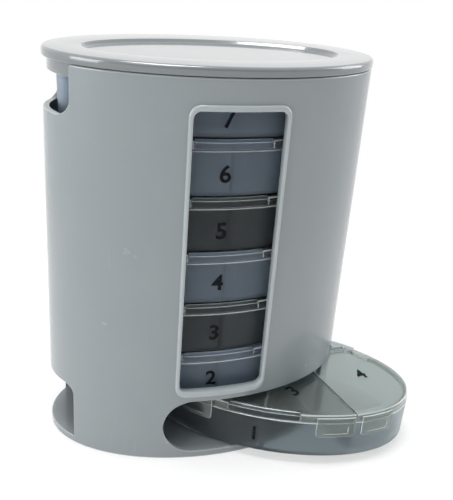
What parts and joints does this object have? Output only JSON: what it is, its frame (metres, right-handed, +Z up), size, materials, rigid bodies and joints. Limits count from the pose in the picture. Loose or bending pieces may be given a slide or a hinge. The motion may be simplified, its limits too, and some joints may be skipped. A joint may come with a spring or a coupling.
{
  "type": "weekly pill organizer",
  "caption": "Oval tower pill organizer: stacked trays with hinged compartment lids, a lift-off cover, a front window and the bottom tray swung out.",
  "frame": {"origin": "centre of the casing's flat underside", "axes": "+Z up, +X towards the end where the bottom tray comes out, -Y towards the window"},
  "size_m": [0.1397, 0.0883, 0.148],
  "materials": {
    "casing_blue_grey": "glossy opaque moulded plastic",
    "cover_pale_grey": "satin opaque moulded plastic",
    "tray_clear": "translucent moulded plastic",
    "tray_smoke": "smoke-tinted translucent moulded plastic"
  },
  "bodies": {
    "casing": {"casing": "casing_blue_grey"},
    "tower_cover": {"tower_cover": "cover_pale_grey"},
    "mon_tray": {"mon_tray": "tray_smoke"},
    "tue_tray": {"tue_tray": "tray_clear"},
    "wed_tray": {"wed_tray": "tray_smoke"},
    "thu_tray": {"thu_tray": "tray_clear"},
    "fri_tray": {"fri_tray": "tray_smoke"},
    "sat_tray": {"sat_tray": "tray_clear"},
    "sun_tray": {"sun_tray": "tray_clear"},
    "mon_morning_lid": {"mon_morning_lid": "tray_smoke"},
    "mon_noon_lid": {"mon_noon_lid": "tray_smoke"},
    "mon_evening_lid": {"mon_evening_lid": "tray_smoke"},
    "mon_bedtime_lid": {"mon_bedtime_lid": "tray_smoke"},
    "tue_morning_lid": {"tue_morning_lid": "tray_clear"},
    "tue_noon_lid": {"tue_noon_lid": "tray_clear"},
    "tue_evening_lid": {"tue_evening_lid": "tray_clear"},
    "tue_bedtime_lid": {"tue_bedtime_lid": "tray_clear"},
    "wed_morning_lid": {"wed_morning_lid": "tray_smoke"},
    "wed_noon_lid": {"wed_noon_lid": "tray_smoke"},
    "wed_evening_lid": {"wed_evening_lid": "tray_smoke"},
    "wed_bedtime_lid": {"wed_bedtime_lid": "tray_smoke"},
    "thu_morning_lid": {"thu_morning_lid": "tray_clear"},
    "thu_noon_lid": {"thu_noon_lid": "tray_clear"},
    "thu_evening_lid": {"thu_evening_lid": "tray_clear"},
    "thu_bedtime_lid": {"thu_bedtime_lid": "tray_clear"},
    "fri_morning_lid": {"fri_morning_lid": "tray_smoke"},
    "fri_noon_lid": {"fri_noon_lid": "tray_smoke"},
    "fri_evening_lid": {"fri_evening_lid": "tray_smoke"},
    "fri_bedtime_lid": {"fri_bedtime_lid": "tray_smoke"},
    "sat_morning_lid": {"sat_morning_lid": "tray_clear"},
    "sat_noon_lid": {"sat_noon_lid": "tray_clear"},
    "sat_evening_lid": {"sat_evening_lid": "tray_clear"},
    "sat_bedtime_lid": {"sat_bedtime_lid": "tray_clear"},
    "sun_morning_lid": {"sun_morning_lid": "tray_clear"},
    "sun_noon_lid": {"sun_noon_lid": "tray_clear"},
    "sun_evening_lid": {"sun_evening_lid": "tray_clear"},
    "sun_bedtime_lid": {"sun_bedtime_lid": "tray_clear"}
  },
  "joints": [
    {"name": "tue_lift", "type": "slide", "parent": "casing", "child": "tue_tray", "axis": [0, 0, 1], "range_m": [0, 0.123]},
    {"name": "wed_lift", "type": "slide", "parent": "tue_tray", "child": "wed_tray", "axis": [0, 0, 1], "range_m": [0, 0.103]},
    {"name": "thu_lift", "type": "slide", "parent": "wed_tray", "child": "thu_tray", "axis": [0, 0, 1], "range_m": [0, 0.083]},
    {"name": "fri_lift", "type": "slide", "parent": "thu_tray", "child": "fri_tray", "axis": [0, 0, 1], "range_m": [0, 0.063]},
    {"name": "sat_lift", "type": "slide", "parent": "fri_tray", "child": "sat_tray", "axis": [0, 0, 1], "range_m": [0, 0.062]},
    {"name": "sun_lift", "type": "slide", "parent": "sat_tray", "child": "sun_tray", "axis": [0, 0, 1], "range_m": [0, 0.062]},
    {"name": "cover_lift", "type": "slide", "parent": "sun_tray", "child": "tower_cover", "axis": [0, 0, 1], "range_m": [0, 0.075]},
    {"name": "mon_swing", "type": "hinge", "parent": "casing", "child": "mon_tray", "pos_m": [-0.01359, -0.06789, 0.0033], "axis": [0, 0, 1], "range_deg": [-61, 27.7]},
    {"name": "mon_morning_lid_hinge", "type": "hinge", "parent": "mon_tray", "child": "mon_morning_lid", "pos_m": [0.02079, 0.01569, 0.0218], "axis": [-0.592, 0.8059, 0], "range_deg": [0, 2.4]},
    {"name": "mon_noon_lid_hinge", "type": "hinge", "parent": "mon_tray", "child": "mon_noon_lid", "pos_m": [0.02904, -0.00513, 0.0218], "axis": [-0.8854, 0.4648, 0], "range_deg": [0, 2.1]},
    {"name": "mon_evening_lid_hinge", "type": "hinge", "parent": "mon_tray", "child": "mon_evening_lid", "pos_m": [0.03793, -0.00979, 0.0218], "axis": [-0.8854, 0.4648, 0], "range_deg": [0, 2.1]},
    {"name": "mon_bedtime_lid_hinge", "type": "hinge", "parent": "mon_tray", "child": "mon_bedtime_lid", "pos_m": [0.05975, -0.00477, 0.0218], "axis": [-0.9996, 0.0297, 0], "range_deg": [0, 2.4]},
    {"name": "tue_morning_lid_hinge", "type": "hinge", "parent": "tue_tray", "child": "tue_morning_lid", "pos_m": [-0.022, 0.02209, 0.04195], "axis": [-0.8988, 0.4384, 0], "range_deg": [0, 38]},
    {"name": "tue_noon_lid_hinge", "type": "hinge", "parent": "tue_tray", "child": "tue_noon_lid", "pos_m": [-0.00502, 0.0075, 0.04195], "axis": [-1, 0, 0], "range_deg": [0, 33]},
    {"name": "tue_evening_lid_hinge", "type": "hinge", "parent": "tue_tray", "child": "tue_evening_lid", "pos_m": [0.00502, 0.0075, 0.04195], "axis": [-1, 0, 0], "range_deg": [0, 33]},
    {"name": "tue_bedtime_lid_hinge", "type": "hinge", "parent": "tue_tray", "child": "tue_bedtime_lid", "pos_m": [0.022, 0.02209, 0.04195], "axis": [-0.8988, -0.4384, 0], "range_deg": [0, 38]},
    {"name": "wed_morning_lid_hinge", "type": "hinge", "parent": "wed_tray", "child": "wed_morning_lid", "pos_m": [-0.022, 0.02209, 0.0621], "axis": [-0.8988, 0.4384, 0], "range_deg": [0, 38]},
    {"name": "wed_noon_lid_hinge", "type": "hinge", "parent": "wed_tray", "child": "wed_noon_lid", "pos_m": [-0.00502, 0.0075, 0.0621], "axis": [-1, 0, 0], "range_deg": [0, 33]},
    {"name": "wed_evening_lid_hinge", "type": "hinge", "parent": "wed_tray", "child": "wed_evening_lid", "pos_m": [0.00502, 0.0075, 0.0621], "axis": [-1, 0, 0], "range_deg": [0, 33]},
    {"name": "wed_bedtime_lid_hinge", "type": "hinge", "parent": "wed_tray", "child": "wed_bedtime_lid", "pos_m": [0.022, 0.02209, 0.0621], "axis": [-0.8988, -0.4384, 0], "range_deg": [0, 38]},
    {"name": "thu_morning_lid_hinge", "type": "hinge", "parent": "thu_tray", "child": "thu_morning_lid", "pos_m": [-0.022, 0.02209, 0.08225], "axis": [-0.8988, 0.4384, 0], "range_deg": [0, 38]},
    {"name": "thu_noon_lid_hinge", "type": "hinge", "parent": "thu_tray", "child": "thu_noon_lid", "pos_m": [-0.00502, 0.0075, 0.08225], "axis": [-1, 0, 0], "range_deg": [0, 33]},
    {"name": "thu_evening_lid_hinge", "type": "hinge", "parent": "thu_tray", "child": "thu_evening_lid", "pos_m": [0.00502, 0.0075, 0.08225], "axis": [-1, 0, 0], "range_deg": [0, 33]},
    {"name": "thu_bedtime_lid_hinge", "type": "hinge", "parent": "thu_tray", "child": "thu_bedtime_lid", "pos_m": [0.022, 0.02209, 0.08225], "axis": [-0.8988, -0.4384, 0], "range_deg": [0, 38]},
    {"name": "fri_morning_lid_hinge", "type": "hinge", "parent": "fri_tray", "child": "fri_morning_lid", "pos_m": [-0.022, 0.02209, 0.1024], "axis": [-0.8988, 0.4384, 0], "range_deg": [0, 38]},
    {"name": "fri_noon_lid_hinge", "type": "hinge", "parent": "fri_tray", "child": "fri_noon_lid", "pos_m": [-0.00502, 0.0075, 0.1024], "axis": [-1, 0, 0], "range_deg": [0, 33]},
    {"name": "fri_evening_lid_hinge", "type": "hinge", "parent": "fri_tray", "child": "fri_evening_lid", "pos_m": [0.00502, 0.0075, 0.1024], "axis": [-1, 0, 0], "range_deg": [0, 33]},
    {"name": "fri_bedtime_lid_hinge", "type": "hinge", "parent": "fri_tray", "child": "fri_bedtime_lid", "pos_m": [0.022, 0.02209, 0.1024], "axis": [-0.8988, -0.4384, 0], "range_deg": [0, 38]},
    {"name": "sat_morning_lid_hinge", "type": "hinge", "parent": "sat_tray", "child": "sat_morning_lid", "pos_m": [-0.022, 0.02209, 0.12255], "axis": [-0.8988, 0.4384, 0], "range_deg": [0, 38]},
    {"name": "sat_noon_lid_hinge", "type": "hinge", "parent": "sat_tray", "child": "sat_noon_lid", "pos_m": [-0.00502, 0.0075, 0.12255], "axis": [-1, 0, 0], "range_deg": [0, 33]},
    {"name": "sat_evening_lid_hinge", "type": "hinge", "parent": "sat_tray", "child": "sat_evening_lid", "pos_m": [0.00502, 0.0075, 0.12255], "axis": [-1, 0, 0], "range_deg": [0, 33]},
    {"name": "sat_bedtime_lid_hinge", "type": "hinge", "parent": "sat_tray", "child": "sat_bedtime_lid", "pos_m": [0.022, 0.02209, 0.12255], "axis": [-0.8988, -0.4384, 0], "range_deg": [0, 38]},
    {"name": "sun_morning_lid_hinge", "type": "hinge", "parent": "sun_tray", "child": "sun_morning_lid", "pos_m": [-0.022, 0.02209, 0.1427], "axis": [-0.8988, 0.4384, 0], "range_deg": [0, 85]},
    {"name": "sun_noon_lid_hinge", "type": "hinge", "parent": "sun_tray", "child": "sun_noon_lid", "pos_m": [-0.00502, 0.0075, 0.1427], "axis": [-1, 0, 0], "range_deg": [0, 73]},
    {"name": "sun_evening_lid_hinge", "type": "hinge", "parent": "sun_tray", "child": "sun_evening_lid", "pos_m": [0.00502, 0.0075, 0.1427], "axis": [-1, 0, 0], "range_deg": [0, 73]},
    {"name": "sun_bedtime_lid_hinge", "type": "hinge", "parent": "sun_tray", "child": "sun_bedtime_lid", "pos_m": [0.022, 0.02209, 0.1427], "axis": [-0.8988, -0.4384, 0], "range_deg": [0, 85]}
  ],
  "couplings": [
    {"joint": "mon_morning_lid_hinge", "follows": "tue_lift", "rad_per_m": 0.34},
    {"joint": "mon_noon_lid_hinge", "follows": "tue_lift", "rad_per_m": 0.297},
    {"joint": "mon_evening_lid_hinge", "follows": "tue_lift", "rad_per_m": 0.297},
    {"joint": "mon_bedtime_lid_hinge", "follows": "tue_lift", "rad_per_m": 0.34},
    {"joint": "tue_morning_lid_hinge", "follows": "wed_lift", "rad_per_m": 6.439},
    {"joint": "tue_noon_lid_hinge", "follows": "wed_lift", "rad_per_m": 5.591},
    {"joint": "tue_evening_lid_hinge", "follows": "wed_lift", "rad_per_m": 5.591},
    {"joint": "tue_bedtime_lid_hinge", "follows": "wed_lift", "rad_per_m": 6.439},
    {"joint": "wed_morning_lid_hinge", "follows": "thu_lift", "rad_per_m": 7.99},
    {"joint": "wed_noon_lid_hinge", "follows": "thu_lift", "rad_per_m": 6.939},
    {"joint": "wed_evening_lid_hinge", "follows": "thu_lift", "rad_per_m": 6.939},
    {"joint": "wed_bedtime_lid_hinge", "follows": "thu_lift", "rad_per_m": 7.99},
    {"joint": "thu_morning_lid_hinge", "follows": "fri_lift", "rad_per_m": 10.527},
    {"joint": "thu_noon_lid_hinge", "follows": "fri_lift", "rad_per_m": 9.142},
    {"joint": "thu_evening_lid_hinge", "follows": "fri_lift", "rad_per_m": 9.142},
    {"joint": "thu_bedtime_lid_hinge", "follows": "fri_lift", "rad_per_m": 10.527},
    {"joint": "fri_morning_lid_hinge", "follows": "sat_lift", "rad_per_m": 10.697},
    {"joint": "fri_noon_lid_hinge", "follows": "sat_lift", "rad_per_m": 9.289},
    {"joint": "fri_evening_lid_hinge", "follows": "sat_lift", "rad_per_m": 9.289},
    {"joint": "fri_bedtime_lid_hinge", "follows": "sat_lift", "rad_per_m": 10.697},
    {"joint": "sat_morning_lid_hinge", "follows": "sun_lift", "rad_per_m": 10.697},
    {"joint": "sat_noon_lid_hinge", "follows": "sun_lift", "rad_per_m": 9.289},
    {"joint": "sat_evening_lid_hinge", "follows": "sun_lift", "rad_per_m": 9.289},
    {"joint": "sat_bedtime_lid_hinge", "follows": "sun_lift", "rad_per_m": 10.697},
    {"joint": "sun_morning_lid_hinge", "follows": "cover_lift", "rad_per_m": 19.78},
    {"joint": "sun_noon_lid_hinge", "follows": "cover_lift", "rad_per_m": 16.987},
    {"joint": "sun_evening_lid_hinge", "follows": "cover_lift", "rad_per_m": 16.987},
    {"joint": "sun_bedtime_lid_hinge", "follows": "cover_lift", "rad_per_m": 19.78}
  ]
}
